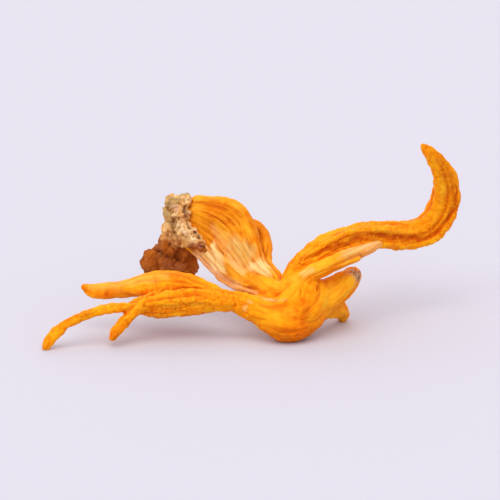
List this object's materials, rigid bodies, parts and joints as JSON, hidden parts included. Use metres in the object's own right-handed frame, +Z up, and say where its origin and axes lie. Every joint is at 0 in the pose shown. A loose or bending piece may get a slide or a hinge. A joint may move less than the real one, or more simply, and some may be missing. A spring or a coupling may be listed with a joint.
{
  "type": "dried cordyceps",
  "caption": "Branching cluster of dried orange club fungus lying on its side, with a pleated foot, slender finger ends, a curled arm and a rest of its growing medium.",
  "frame": {"origin": "centre of the bounding box, on the surface that the cluster lies on", "axes": "+Z up, +X from the long finger towards the curled arm, +Y away from the picture's viewer, towards the substrate"},
  "size_m": [0.0702, 0.0317, 0.0301],
  "materials": {
    "club_flesh": "dried bright orange fungus flesh, dull and finely grained, with darker furrows",
    "fan_flesh": "dried orange fungus flesh, pleated, cream along its rim",
    "pale_flesh": "dried fungus flesh, broken, pale pinkish cream on its torn strip",
    "substrate": "dry crumbly growing medium, grey-beige crust over brown"
  },
  "bodies": {
    "root": {"trunk": "club_flesh", "left_arm": "club_flesh", "upper_finger": "club_flesh", "long_finger": "club_flesh", "short_finger": "club_flesh", "curled_arm": "club_flesh", "grey_tipped_stub": "club_flesh", "pale_stub": "pale_flesh", "base_fan": "fan_flesh", "substrate_remnant": "substrate"}
  },
  "joints": []
}
